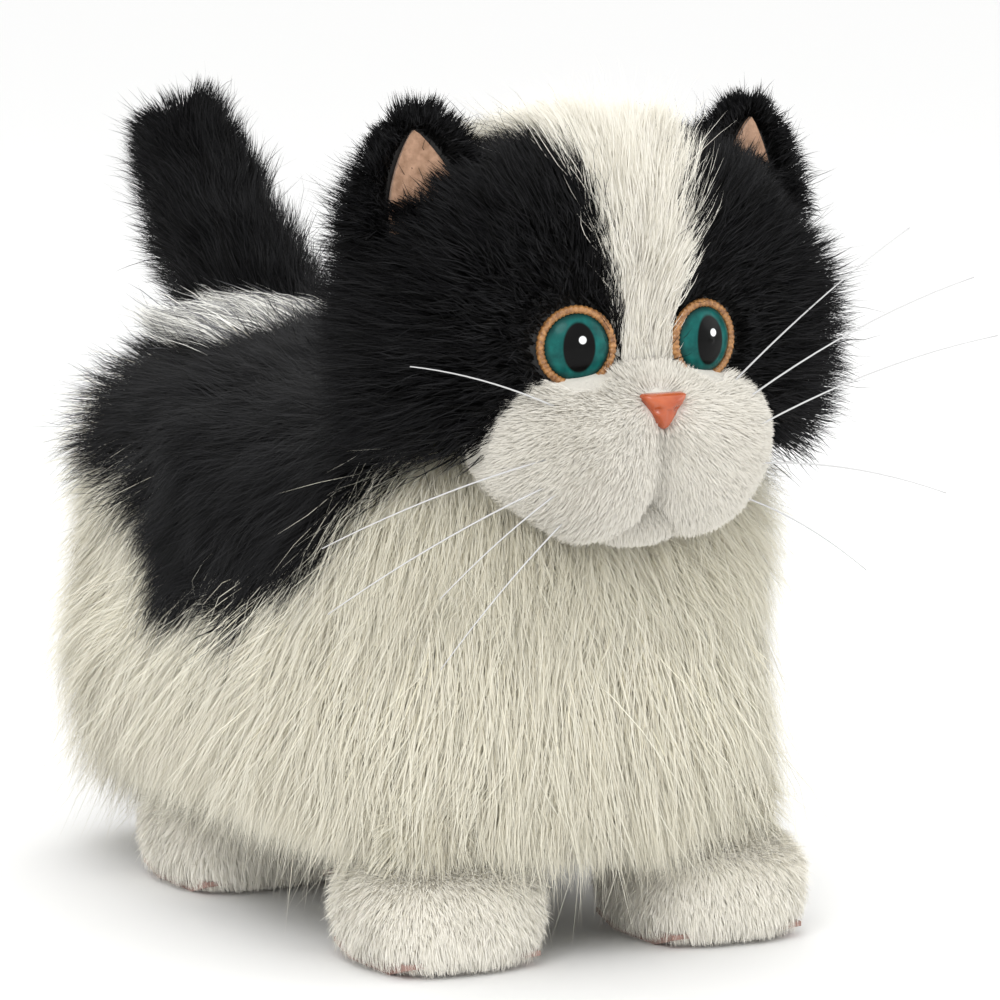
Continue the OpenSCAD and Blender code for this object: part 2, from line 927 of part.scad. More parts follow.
module tail_bracket() {
    y0 = chassis_rear_y;
    color("dimgray") {
        box([-7, y0, 103.5], [7, tail_y, 106.5]);
        box([-7, y0, 121.5], [7, tail_y, 124.5]);
        box([-7, y0, 103.5], [7, y0 + 2.5, 124.5]);
        translate([0, tail_y, 103.5]) cylinder(h = 3, r = 7);
        translate([0, tail_y, 121.5]) cylinder(h = 3, r = 7);
        translate([0, tail_y, 104]) cylinder(h = 20, r = 2);
    }
}

module tail_core() {
    color("lightgray") difference() {
        union() {
            translate([0, tail_y, tail_hub_z[0]])
                cylinder(h = tail_hub_z[1] - tail_hub_z[0], r = 5.5);
            tail_rod();
        }
        translate([0, tail_y, 100]) cylinder(h = 40, r = 2 + running_gap);
        translate([0, tail_y, tail_hub_z[1]]) cylinder(h = 6, r = 8);
    }
}

// Leaves the hub level, clears the bracket, then runs straight to the tip
module tail_rod() {
    elbow = tail_root + [0, 13, 2];
    rod(tail_root, elbow, tail_core_r);
    translate(elbow) sphere(tail_core_r + 0.6);
    rod(elbow, tail_tip, tail_core_r);
}

module tail_coat() {
    start = [0, tail_y, 0] + tail_fur_start;
    color([0.12, 0.12, 0.13]) difference() {
        hull() {
            translate(start) sphere(15, $fn = soft_fn);
            translate([0, 96, 162]) sphere(17, $fn = soft_fn);
            translate([0, 123, 197]) sphere(13, $fn = soft_fn);
        }
        tail_rod();
    }
}

chassis_shell_left();
chassis_shell_right();
shell_screws();
battery_box();
battery_cells();
battery_contacts();
battery_door();
door_screw();
power_switch();
touch_button();
speaker();
circuit_board();
motor();
gearbox_plates();
gear_axles();
motor_pinion();
first_gear();
second_gear();
crank_gear();
crankshaft();
crank_discs();
link_rod_left();
link_rod_right();
leg_frame_front_left();
leg_frame_front_right();
leg_frame_rear_left();
leg_frame_rear_right();
drive_lever_front_left();
drive_lever_front_right();
drive_lever_rear_left();
drive_lever_rear_right();
boot_front_left();
boot_front_right();
boot_rear_left();
boot_rear_right();
sole_front_left();
sole_front_right();
sole_rear_left();
sole_rear_right();
body_padding();
body_coat();
saddle_coat();
neck_post();
head_shell_front();
head_shell_rear();
eyes();
eye_rims();
nose();
head_coat();
muzzle_coat();
ear_shells();
ear_linings();
whiskers();
jaw_pin();
jaw_spring();
jaw_frame();
chin_coat();
tail_bracket();
tail_core();
tail_coat();
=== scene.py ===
"""Walking plush kitten: fur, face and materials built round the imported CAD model.

Lengths in the building functions are millimetres in the shared frame (the kitten faces -Y, its left
side is +X, the floor is z = 0) and become metres where a mesh is made.
"""
import json
import math

import bpy
import numpy as np
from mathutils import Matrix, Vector
from mathutils.kdtree import KDTree


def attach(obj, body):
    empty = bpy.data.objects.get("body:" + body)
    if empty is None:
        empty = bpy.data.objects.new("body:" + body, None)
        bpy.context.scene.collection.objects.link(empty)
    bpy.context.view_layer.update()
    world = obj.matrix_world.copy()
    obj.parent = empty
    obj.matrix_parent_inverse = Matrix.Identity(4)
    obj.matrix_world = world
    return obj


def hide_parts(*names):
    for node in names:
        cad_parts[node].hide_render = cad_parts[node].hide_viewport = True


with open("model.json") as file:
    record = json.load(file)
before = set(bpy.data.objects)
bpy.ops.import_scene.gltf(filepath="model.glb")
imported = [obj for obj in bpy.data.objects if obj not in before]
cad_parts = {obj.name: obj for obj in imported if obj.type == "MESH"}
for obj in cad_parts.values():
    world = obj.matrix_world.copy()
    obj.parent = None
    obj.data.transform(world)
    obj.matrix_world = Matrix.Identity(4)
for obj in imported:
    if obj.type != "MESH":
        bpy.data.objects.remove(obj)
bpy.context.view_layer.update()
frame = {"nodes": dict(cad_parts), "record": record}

MM = 0.001
UP = np.array([0.0, 0.0, 1.0])
BACK = np.array([0.0, 1.0, 0.0])
SIDES = {"left": 1, "right": -1}

# Places shared by the pieces
EYE_X, EYE_Y, EYE_Z = 17.5, -121.3, 157.0
HEAD_C = np.array([0.0, -88.0, 163.0])
MUZZLE_C = np.array([0.0, -113.0, 132.5])
CHIN_C = np.array([0.0, -119.0, 115.5])
LEG_X = 38.0
# The lowest that any fibre hangs
FLOOR_GAP = 0.5
# Brings the sum of the four waves in waves() back to about unit strength
WAVE_PEAK = 2.5
HIP_Y = {"front": -87.0, "rear": 29.0}


# ---------- small vector helpers ----------

def unit(v):
    v = np.asarray(v, float)
    return v / np.maximum(np.linalg.norm(v, axis=-1, keepdims=True), 1e-9)


def tangential(directions, normals):
    return directions - (directions * normals).sum(-1, keepdims=True) * normals


def ramp(x, low, high):
    """0 below low, 1 above high, smooth between."""
    t = np.clip((x - low) / (high - low), 0, 1)
    return t * t * (3 - 2 * t)


def waves(points, size, seed):
    """A smooth vector field of about unit strength whose swirls are about size mm across."""
    rng = np.random.default_rng(seed)
    total = np.zeros_like(points)
    for _ in range(4):
        k = rng.normal(size=(3, 3)) * (2.2 / size)
        total += np.sin(points @ k.T + rng.uniform(0, 2 * math.pi, 3))
    return total / WAVE_PEAK


# ---------- materials ----------

def new_material(name):
    mat = bpy.data.materials.new(name)
    mat.use_nodes = True
    nodes = mat.node_tree.nodes
    return mat, nodes, mat.node_tree.links, nodes["Principled BSDF"]


def fibre_material(name, colour, roughness=0.62, sheen=0.25, gloss=0.3):
    """One tone of fibre. A fur piece mixes several."""
    mat, _, _, shader = new_material(name)
    shader.inputs["Base Color"].default_value = (*colour, 1)
    shader.inputs["Roughness"].default_value = roughness
    shader.inputs["Specular IOR Level"].default_value = gloss
    shader.inputs["Sheen Weight"].default_value = sheen
    shader.inputs["Sheen Roughness"].default_value = 0.5
    mat.diffuse_color = (*colour, 1)
    return mat


def fibre_set(name, roots, tips, **options):
    """Materials for a fur piece: the root tones, then the tip tones."""
    tones = [(f"{name}_root{i}", c) for i, c in enumerate(roots)]
    tones += [(f"{name}_tip{i}", c) for i, c in enumerate(tips)]
    return [fibre_material(n, c, **options) for n, c in tones]


def noise_material(name, dark, light, scale, roughness=(0.5, 0.7), bump=0.2, bump_scale=None,
                   metallic=0.0, coat=0.0, sheen=0.0, stretch=(1, 1, 1)):
    """A moulded or woven surface: two tones, uneven roughness and a fine relief from noise."""
    mat, nodes, links, shader = new_material(name)
    place = nodes.new("ShaderNodeTexCoord")
    mapping = nodes.new("ShaderNodeMapping")
    mapping.inputs["Scale"].default_value = stretch
    links.new(place.outputs["Object"], mapping.inputs["Vector"])
    noise = nodes.new("ShaderNodeTexNoise")
    noise.inputs["Scale"].default_value = scale
    noise.inputs["Detail"].default_value = 6
    links.new(mapping.outputs["Vector"], noise.inputs["Vector"])
    colours = nodes.new("ShaderNodeValToRGB")
    colours.color_ramp.elements[0].position = 0.35
    colours.color_ramp.elements[0].color = (*dark, 1)
    colours.color_ramp.elements[1].position = 0.65
    colours.color_ramp.elements[1].color = (*light, 1)
    links.new(noise.outputs["Fac"], colours.inputs["Fac"])
    links.new(colours.outputs["Color"], shader.inputs["Base Color"])
    rough = nodes.new("ShaderNodeMapRange")
    rough.inputs["To Min"].default_value, rough.inputs["To Max"].default_value = roughness
    links.new(noise.outputs["Fac"], rough.inputs["Value"])
    links.new(rough.outputs["Result"], shader.inputs["Roughness"])
    grain = nodes.new("ShaderNodeTexNoise")
    grain.inputs["Scale"].default_value = bump_scale or scale * 4
    grain.inputs["Detail"].default_value = 4
    links.new(mapping.outputs["Vector"], grain.inputs["Vector"])
    relief = nodes.new("ShaderNodeBump")
    relief.inputs["Strength"].default_value = bump
    relief.inputs["Distance"].default_value = 0.0004
    links.new(grain.outputs["Fac"], relief.inputs["Height"])
    links.new(relief.outputs["Normal"], shader.inputs["Normal"])
    shader.inputs["Metallic"].default_value = metallic
    shader.inputs["Coat Weight"].default_value = coat
    shader.inputs["Sheen Weight"].default_value = sheen
    return mat


# ---------- meshes ----------

def add_mesh(name, vertices, faces, materials, smooth=True):
    """A mesh object from points in mm and a list of faces."""
    mesh = bpy.data.meshes.new(name)
    mesh.from_pydata([tuple(v) for v in np.asarray(vertices) * MM], [], faces)
    mesh.update()
    if smooth:
        mesh.shade_smooth()
    for mat in materials:
        mesh.materials.append(mat)
    obj = bpy.data.objects.new(name, mesh)
    bpy.context.scene.collection.objects.link(obj)
    return obj


def finish_piece(obj, body, nodes=()):
    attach(obj, body)
    if nodes:
        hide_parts(*nodes)
    return obj


class Form:
    """A closed rounded solid: a superellipsoid whose half sizes may differ on the two sides of its
    centre. reach() is its radius along a direction, and normal() points out of its surface."""

    def __init__(self, centre, low, high, power=2.0):
        self.centre = np.asarray(centre, float)
        self.low = np.asarray(low, float)
        self.high = np.asarray(high, float)
        self.power = power

    def halves(self, d):
        return np.where(d > 0, self.high, self.low)

    def reach(self, d):
        return (np.abs(d / self.halves(d)) ** self.power).sum(-1) ** (-1 / self.power)

    def surface(self, d):
        return self.centre + d * self.reach(d)[:, None]

    def normal(self, d):
        s = self.halves(d)
        q = d * self.reach(d)[:, None]
        return unit(np.sign(q) * np.abs(q / s) ** (self.power - 1) / s)

    def depth(self, p):
        """Below 1 inside, above 1 outside."""
        q = p - self.centre
        return (np.abs(q / self.halves(q)) ** self.power).sum(-1) ** (1 / self.power)

    def skin(self, name, materials, rows=40, columns=64, dent=None):
        """The solid's own surface, pushed by dent(points, normals) where given."""
        polar = np.linspace(0, math.pi, rows + 1)[1:-1]
        turn = np.linspace(0, 2 * math.pi, columns, endpoint=False)
        a, b = np.meshgrid(polar, turn, indexing="ij")
        d = np.stack([np.sin(a) * np.cos(b), np.sin(a) * np.sin(b), np.cos(a)], -1).reshape(-1, 3)
        d = np.vstack([d, UP, -UP])
        points, normals = self.surface(d), self.normal(d)
        if dent is not None:
            points = points + dent(points, normals)
        faces = []
        for i in range(rows - 2):
            for j in range(columns):
                k = (j + 1) % columns
                faces.append((i * columns + j, (i + 1) * columns + j,
                              (i + 1) * columns + k, i * columns + k))
        top, bottom, last = len(d) - 2, len(d) - 1, (rows - 2) * columns
        for j in range(columns):
            k = (j + 1) % columns
            faces.append((top, j, k))
            faces.append((bottom, last + k, last + j))
        return add_mesh(name, points, faces, materials)

    def scatter(self, count, rng, keep=None):
        """count points spread evenly over the surface, with their normals. keep(p, n) is the
        chance that a point there stays."""
        points, normals, found = [], [], 0
        while found < count:
            d = unit(rng.normal(size=(count * 2, 3)))
            n = self.normal(d)
            r = self.reach(d)
            weight = r * r / np.maximum((n * d).sum(-1), 0.2)
            chance = weight / weight.max()
            p = self.surface(d)
            if keep is not None:
                chance = chance * keep(p, n)
            chosen = rng.random(len(d)) < chance
            points.append(p[chosen])
            normals.append(n[chosen])
            found += int(chosen.sum())
            if not chosen.any():
                raise RuntimeError("nothing left of the surface to scatter on")
        return np.vstack(points)[:count], np.vstack(normals)[:count]


# ---------- fur ----------

def grow(name, roots, normals, start, end, length, width, materials, rng, rings=4,
         clumps=0, clump_pull=0.6, curl=0.0, curl_size=9.0, stray=0.12, roll=0.5, loose=0.06):
    """A fur piece of flat tapered fibres.

    Each fibre leaves its root along start, bends over to end, and is length mm long. Fibres near a
    clump's middle lean their tips together, curl waves them, and stray scatters their directions.
    The loose share of them is longer, thinner and in no clump. roll turns the flat side away from
    the surface. materials holds the root tones, then as many tip tones.
    """
    count = len(roots)
    free = rng.random(count) < loose
    length = np.broadcast_to(length, count) * rng.uniform(0.72, 1.12, count)
    length = length * np.where(free, 1.2, 1.0)
    scatter = (stray * np.where(free, 1.6, 1.0))[:, None]
    start = unit(start + scatter * rng.normal(size=(count, 3)))
    end = unit(end + scatter * rng.normal(size=(count, 3)))
    steps = np.linspace(0, 1, rings + 1)
    t = steps[None, :, None]
    path = start[:, None] * (t - t * t / 2) + end[:, None] * (t * t / 2)
    points = roots[:, None] + path * length[:, None, None]
    if clumps:
        middles = rng.choice(count, size=min(clumps, count), replace=False)
        tree = KDTree(len(middles))
        for i, m in enumerate(middles):
            tree.insert(roots[m], i)
        tree.balance()
        nearest = middles[np.array([tree.find(r)[1] for r in roots])]
        pull = clump_pull * rng.uniform(0.6, 1.1, count)[:, None, None]
        pull = np.where(free[:, None, None], 0.0, pull)
        target = points[nearest] - roots[nearest][:, None] * 0.12 + roots[:, None] * 0.12
        points = points + (target - points) * np.clip(pull, 0, 0.97) * t ** 1.4
    if curl:
        flat = points.reshape(-1, 3)
        sway = waves(flat, curl_size, int(rng.integers(1 << 30))).reshape(points.shape)
        points = points + curl * sway * t ** 1.2
    points[:, :, 2] = np.maximum(points[:, :, 2], FLOOR_GAP)
    tangents = np.gradient(points, axis=1)
    outward = unit(normals + roll * rng.normal(size=(count, 3)))
    across = unit(np.cross(tangents, outward[:, None]))
    half = np.broadcast_to(width, count)[:, None, None] / 2 * rng.uniform(0.75, 1.25, (count, 1, 1))
    half = half * np.where(free, 0.7, 1.0)[:, None, None]
    half = half * np.clip(1 - t, 0, 1) ** 0.55
    edges = np.stack([points - across * half, points + across * half], 2)
    body = edges[:, :rings].reshape(count, 2 * rings, 3)
    vertices = np.concatenate([body, points[:, rings:]], 1)
    per = 2 * rings + 1
    base = np.arange(count)[:, None] * per
    quads = np.array([[2 * i, 2 * i + 1, 2 * i + 3, 2 * i + 2] for i in range(rings - 1)])
    tip = np.array([2 * rings - 2, 2 * rings - 1, 2 * rings])
    pattern = np.concatenate([quads.ravel(), tip])
    loops = (base + pattern[None]).ravel()
    totals = np.tile(np.array([4] * (rings - 1) + [3]), count)
    starts = np.concatenate([[0], np.cumsum(totals)[:-1]])
    tones = len(materials) // 2
    tone = rng.integers(tones, size=count)
    late = np.array([0 if i < rings / 2 - 0.5 else 1 for i in range(rings)])
    slots = (tone[:, None] + tones * late[None]).ravel()
    mesh = bpy.data.meshes.new(name)
    mesh.vertices.add(count * per)
    mesh.vertices.foreach_set("co", (vertices * MM).astype(np.float32).ravel())
    mesh.loops.add(len(loops))
    mesh.loops.foreach_set("vertex_index", loops.astype(np.int32))
    mesh.polygons.add(len(totals))
    mesh.polygons.foreach_set("loop_start", starts.astype(np.int32))
    mesh.polygons.foreach_set("loop_total", totals.astype(np.int32))
    for mat in materials:
        mesh.materials.append(mat)
    mesh.polygons.foreach_set("material_index", slots.astype(np.int32))
    mesh.polygons.foreach_set("use_smooth", np.ones(len(totals), dtype=bool))
    mesh.update(calc_edges=True)
    obj = bpy.data.objects.new(name, mesh)
    bpy.context.scene.collection.objects.link(obj)
    return obj


# Tones of the fibres. White roots are paler than their tips, since less light reaches them.
BLACK_ROOTS = [(0.002, 0.002, 0.002), (0.003, 0.003, 0.003), (0.004, 0.004, 0.004)]
BLACK_TIPS = [(0.004, 0.004, 0.004), (0.008, 0.008, 0.009), (0.018, 0.018, 0.019)]
WHITE_ROOTS = [(0.82, 0.77, 0.60), (0.84, 0.80, 0.65), (0.86, 0.82, 0.69)]
WHITE_TIPS = [(0.70, 0.66, 0.54), (0.73, 0.70, 0.58), (0.76, 0.73, 0.62)]
PLUSH_ROOTS = [(0.80, 0.77, 0.71), (0.82, 0.79, 0.73)]
PLUSH_TIPS = [(0.71, 0.68, 0.61), (0.74, 0.71, 0.64)]
BLAZE_TIPS = [(0.80, 0.77, 0.68), (0.84, 0.81, 0.73)]
STREAK_ROOTS = [(0.30, 0.29, 0.27), (0.58, 0.56, 0.48), (0.66, 0.63, 0.54)]
STREAK_TIPS = [(0.16, 0.16, 0.17), (0.76, 0.75, 0.70), (0.86, 0.85, 0.80)]
BOOT_ROOTS = [(0.90, 0.87, 0.77), (0.91, 0.88, 0.79)]
BOOT_TIPS = [(0.89, 0.86, 0.77), (0.92, 0.89, 0.81)]

black_fur = fibre_set("black_fur", BLACK_ROOTS, BLACK_TIPS, roughness=0.50, sheen=0.0, gloss=0.07)
white_fur = fibre_set("white_fur", WHITE_ROOTS, WHITE_TIPS, roughness=0.55, sheen=0.3)
white_plush = fibre_set("white_plush", PLUSH_ROOTS, PLUSH_TIPS, roughness=0.75, sheen=0.4)
boot_plush = fibre_set("boot_plush", BOOT_ROOTS, BOOT_TIPS, roughness=0.75, sheen=0.4)
streak_fur = fibre_set("streak_fur", STREAK_ROOTS, STREAK_TIPS, roughness=0.55, sheen=0.2)
blaze_fibres = fibre_set("blaze_fur", PLUSH_ROOTS, BLAZE_TIPS, roughness=0.55, sheen=0.3)
black_backing = noise_material("black_backing", (0.002, 0.002, 0.002), (0.006, 0.006, 0.006), 260)
white_backing = noise_material("white_backing", (0.66, 0.61, 0.46), (0.78, 0.74, 0.62), 220,
                               sheen=0.3)
plush_backing = noise_material("plush_backing", (0.62, 0.59, 0.53), (0.70, 0.67, 0.60), 300,
                               bump=0.5, sheen=0.4)


# ---------- body ----------

BACK_FUR = 34.0
FLANK_EXTRA = 22.0
REAR_EXTRA = 12.0
BODY = Form([0, -10, 92], low=[54, 92, 51], high=[54, 95, 44], power=3.6)
# Lowest reach of the skirt's tips, and of the tips below the tail
HEM_Z = 22.0
REAR_HEM_Z = 4.0
# The saddle's lower edge on the body, at places along Y
SADDLE_Y = [-100, -82, -70, -52, -40, -14, 6, 45, 75]
SADDLE_Z = [160, 142, 116, 107, 96, 97, 108, 124, 138]


def saddle_amount(p):
    """How black the coat is at a point: a saddle over the back that runs ragged down the sides."""
    wobble = waves(p, 20, 11)[:, 0] * 8
    low_edge = np.interp(p[:, 1] + wobble, SADDLE_Y, SADDLE_Z) + wobble
    return ramp(p[:, 2], low_edge - 10, low_edge + 8)


def body_flow(p, n):
    """Fur lies back along the spine, sweeps down and back over the sides and hangs at the chest."""
    side = np.clip(np.abs(n[:, :1]), 0, 1)
    flow = BACK * (1.0 - 0.30 * side) - UP * (0.25 + 0.75 * side)
    rear = ramp(p[:, 1], 45, 78)[:, None]
    flow = flow * (1 - rear) + rear * np.array([0, 0.5, -0.85])
    chest = ramp(-p[:, 1], 45, 85)[:, None]
    outward = np.stack([np.sign(p[:, 0]) * 0.15, np.full(len(p), -0.05), -np.ones(len(p))], 1)
    flow = flow * (1 - chest) + chest * outward
    return unit(tangential(flow, n) + 1e-4 * UP)


def body_length(p):
    """Long on the flanks and the rump, and never past the hem."""
    rear = ramp(p[:, 1], 40, 75)
    free = BACK_FUR + FLANK_EXTRA * ramp(112 - p[:, 2], 0, 45) + REAR_EXTRA * rear
    hem = HEM_Z + (REAR_HEM_Z - HEM_Z) * rear
    return np.minimum(free, 1.05 * (p[:, 2] - hem))


def body_fur(name, roots, normals, materials, rng, length, lift=0.6, **options):
    flow = body_flow(roots, normals)
    # The skirt hangs straight down and stands out a little
    skirt = ramp(78 - roots[:, 2], 0, 22)[:, None]
    flow = unit(flow * (1 - skirt) + skirt * (0.35 * normals * [1, 1, 0] - UP))
    rear = ramp(roots[:, 1], 30, 75)[:, None]
    start = unit(normals * (lift + 0.5 * rear) + flow)
    hang = -UP * 0.8 * ramp(110 - roots[:, 2], -10, 50)[:, None]
    flare = rear * (0.26 + 0.12 * ramp(roots[:, 2], 60, 95)[:, None])
    end = unit(flow * 1.1 + normals * (0.06 + flare) + hang)
    return grow(name, roots, normals, start, end, length, 0.35, materials, rng, rings=4,
                stray=0.15, roll=0.12, loose=0.06, **options)


def build_body():
    """A padded skin under white fur, and black fur over the back."""
    skin = BODY.skin("body_skin", [white_backing], rows=36, columns=60)
    finish_piece(skin, "chassis", ["body_coat"])
    rng = np.random.default_rng(21)
    for i in range(9):
        roots, normals = BODY.scatter(26000, rng, lambda p, n: 1 - saddle_amount(p))
        fur = body_fur(f"body_fur_{i}", roots, normals, white_fur, rng, body_length(roots),
                       clumps=70, clump_pull=0.34, curl=4.0, curl_size=26)
        finish_piece(fur, "chassis", ["body_coat"])
    for i in range(4):
        roots, normals = BODY.scatter(24000, rng, lambda p, n: saddle_amount(p))
        fur = body_fur(f"saddle_fur_{i}", roots, normals, black_fur, rng,
                       body_length(roots), lift=0.85,
                       clumps=130, clump_pull=0.45, curl=3.4, curl_size=18)
        finish_piece(fur, "chassis", ["saddle_coat"])
    build_rump_streak(rng)


def build_rump_streak(rng):
    """A tuft of white and grey at the root of the tail."""
    count = 9000
    spot = rng.normal(size=(count, 3)) * [11, 9, 2]
    roots = np.array([-12.0, 42.0, 134.0]) + np.clip(spot, -22, 22)
    normals = np.broadcast_to(unit([-0.25, 0.1, 1.0]), roots.shape)
    start = unit(np.broadcast_to([-0.25, 0.6, 0.75], roots.shape))
    end = unit(np.broadcast_to([-0.45, 1.0, 0.05], roots.shape))
    fur = grow("rump_fur", roots, normals, start, end, 36.0, 0.40, streak_fur, rng,
               rings=5, clumps=90, clump_pull=0.5, curl=2.8, curl_size=14, loose=0.0)
    finish_piece(fur, "chassis", ["body_coat"])


# ---------- head ----------

HEAD = Form(HEAD_C, low=[46, 35, 44], high=[49, 29, 40.0], power=3.0)
MUZZLE = Form(MUZZLE_C, low=[38, 22.5, 20], high=[38, 26, 21.5], power=2.3)
NOSE_CENTRE = np.array([0.0, -133.6, 143.2])
NOSE_POINT = np.array([0.0, -136.0, 142.5])


def near_eye(p):
    """1 on the eyes and their rims, 0 away from them."""
    total = np.zeros(len(p))
    for s in (-1, 1):
        r = np.hypot(p[:, 0] - s * EYE_X, p[:, 2] - EYE_Z)
        total = np.maximum(total, 1 - ramp(r, 10.2, 11.0))
    return total * (p[:, 1] < HEAD_C[1])


def blaze_amount(p):
    """White stripe from the muzzle up over the crown, wider at the top."""
    front = ramp(HEAD_C[1] + 10 - p[:, 1], -6, 6)
    rise = np.clip((p[:, 2] - 155) / 48, 0, 1)
    half = 7.0 + 4.5 * rise + waves(p, 12, 5)[:, 0] * 1.2
    return front * (1 - ramp(np.abs(p[:, 0]), half - 2.5, half + 2.5))


def head_flow(p, n):
    """Fur runs away from the nose, up over the brow and back and out over the cheeks."""
    away = unit(p - NOSE_POINT)
    low = ramp(150 - p[:, 2], 0, 30)[:, None]
    flow = away + 0.15 * BACK - UP * 0.35 * low
    return unit(tangential(flow, n) + 1e-4 * UP)


def head_length(p):
    to_eyes = np.min([np.hypot(p[:, 0] - s * EYE_X, p[:, 2] - EYE_Z) for s in (-1, 1)], axis=0)
    face = ramp(-p[:, 1], 92, 116) * (1 - ramp(to_eyes, 12, 36))
    cheek = ramp(np.abs(p[:, 0]), 28, 46) * (1 - ramp(p[:, 1], -96, -78))
    ear = np.exp(-((np.abs(p[:, 0]) - 43) / 12) ** 2 - ((p[:, 2] - 186) / 14) ** 2)
    ear = ear * ramp(-p[:, 1], 92, 102)
    return (18 + 12 * cheek - 11.5 * face) * (1 - 0.6 * ear)


def head_keep(p, n):
    clear_eyes = 1 - near_eye(p)
    clear_muzzle = ramp(MUZZLE.depth(p), 0.86, 0.93)
    clear_chest = 1 - ramp(138 - p[:, 2], 0, 6) * ramp(-p[:, 1], 70, 82)
    return clear_eyes * clear_muzzle * clear_chest


def head_fur(name, roots, normals, materials, rng, **options):
    flow = head_flow(roots, normals)
    cheek = ramp(np.abs(roots[:, 0]), 26, 46)[:, None]
    crown = ramp(roots[:, 2], 184, 196)[:, None]
    start = unit(normals * (0.9 + 0.5 * cheek - 0.4 * crown) + flow * 0.8)
    end = unit(flow + normals * (0.45 + 0.75 * cheek - 0.25 * crown) - UP * 0.12)
    return grow(name, roots, normals, start, end, head_length(roots), 0.34, materials, rng,
                rings=4, stray=0.18, roll=0.3, **options)


def build_head():
    """A padded skull skin under black fur, with the white blaze on its brow."""
    skin = HEAD.skin("head_skin", [black_backing], rows=40, columns=64)
    finish_piece(skin, "head", ["head_coat"])
    rng = np.random.default_rng(31)
    for i in range(4):
        roots, normals = HEAD.scatter(
            18000, rng, lambda p, n: head_keep(p, n) * (1 - blaze_amount(p)))
        fur = head_fur(f"head_fur_{i}", roots, normals, black_fur, rng,
                       clumps=380, clump_pull=0.4, curl=1.4, curl_size=9)
        finish_piece(fur, "head", ["head_coat"])
    roots, normals = HEAD.scatter(15000, rng, lambda p, n: head_keep(p, n) * blaze_amount(p))
    fan = np.stack([roots[:, 0] * 0.034, 0.1 * np.ones(len(roots)), np.ones(len(roots))], 1)
    flow = unit(tangential(fan, normals))
    rise = ramp(roots[:, 2], 150, 192)
    fur = grow("blaze_fur", roots, normals, unit(flow + normals * 0.4),
               unit(flow + normals * (0.10 + 0.12 * rise[:, None])), 7 + 17 * rise, 0.34,
               blaze_fibres, rng, rings=5, clumps=110, clump_pull=0.4, curl=1.8, curl_size=14,
               stray=0.16, roll=0.2, loose=0.16)
    finish_piece(fur, "head", ["head_coat"])


def muzzle_dent(p, n):
    """Two puffs with a cleft under the nose."""
    cleft = np.exp(-(p[:, 0] / 3.6) ** 2) * ramp(144 - p[:, 2], 0, 8) * ramp(-p[:, 1], 118, 127)
    puff = np.exp(-((np.abs(p[:, 0]) - 16) / 12) ** 2) * ramp(-p[:, 1], 110, 124)
    low = ramp(150 - p[:, 2], 0, 14)
    return n * (puff * low * 4.6 - cleft * 3.2)[:, None]


def plush(name, roots, normals, flow, length, materials, rng, width=0.30, pull=0.2, lift=0.35):
    start = unit(normals * (0.35 + lift) + 0.6 * flow)
    end = unit(normals * lift + flow)
    return grow(name, roots, normals, start, end, length, width, materials, rng, rings=3,
                clumps=max(60, len(roots) // 40), clump_pull=pull, curl=0.3, curl_size=5,
                stray=0.12 + 0.15 * lift, loose=0.03, roll=0.2)


def build_muzzle():
    skin = MUZZLE.skin("muzzle_skin", [plush_backing], rows=56, columns=88, dent=muzzle_dent)
    finish_piece(skin, "head", ["muzzle_coat"])
    rng = np.random.default_rng(41)

    def keep(p, n):
        nose = np.hypot(p[:, 0] / 5.2, (p[:, 2] - 143) / 4.4)
        return ramp(nose, 0.8, 1.0) * (1 - near_eye(p)) * ramp(-p[:, 1], 88, 96)

    for i in range(2):
        roots, normals = MUZZLE.scatter(30000, rng, keep)
        roots = roots + muzzle_dent(roots, normals)
        flow = unit(tangential(roots - NOSE_POINT - UP * 4, normals))
        fur = plush(f"muzzle_fur_{i}", roots, normals, flow, 3.6, white_plush, rng)
        finish_piece(fur, "head", ["muzzle_coat"])


CHIN = Form(CHIN_C, low=[13, 9, 7], high=[13, 9, 8], power=2.2)


def build_chin():
    skin = CHIN.skin("chin_skin", [plush_backing], rows=28, columns=44)
    finish_piece(skin, "jaw", ["chin_coat"])
    rng = np.random.default_rng(43)
    roots, normals = CHIN.scatter(10000, rng, lambda p, n: 1 - 0.8 * ramp(n[:, 2], 0.5, 0.8))
    flow = unit(tangential(np.broadcast_to([0, 0.1, -1.0], roots.shape), normals) + 1e-4)
    fur = plush("chin_fur", roots, normals, flow, 3.4, white_plush, rng)
    finish_piece(fur, "jaw", ["chin_coat"])


# ---------- eyes, nose, ears, whiskers ----------

# A Mix node's colour sockets, by number, since its float ones have the same names
COLOUR_A, COLOUR_B, COLOUR_RESULT = 6, 7, 2


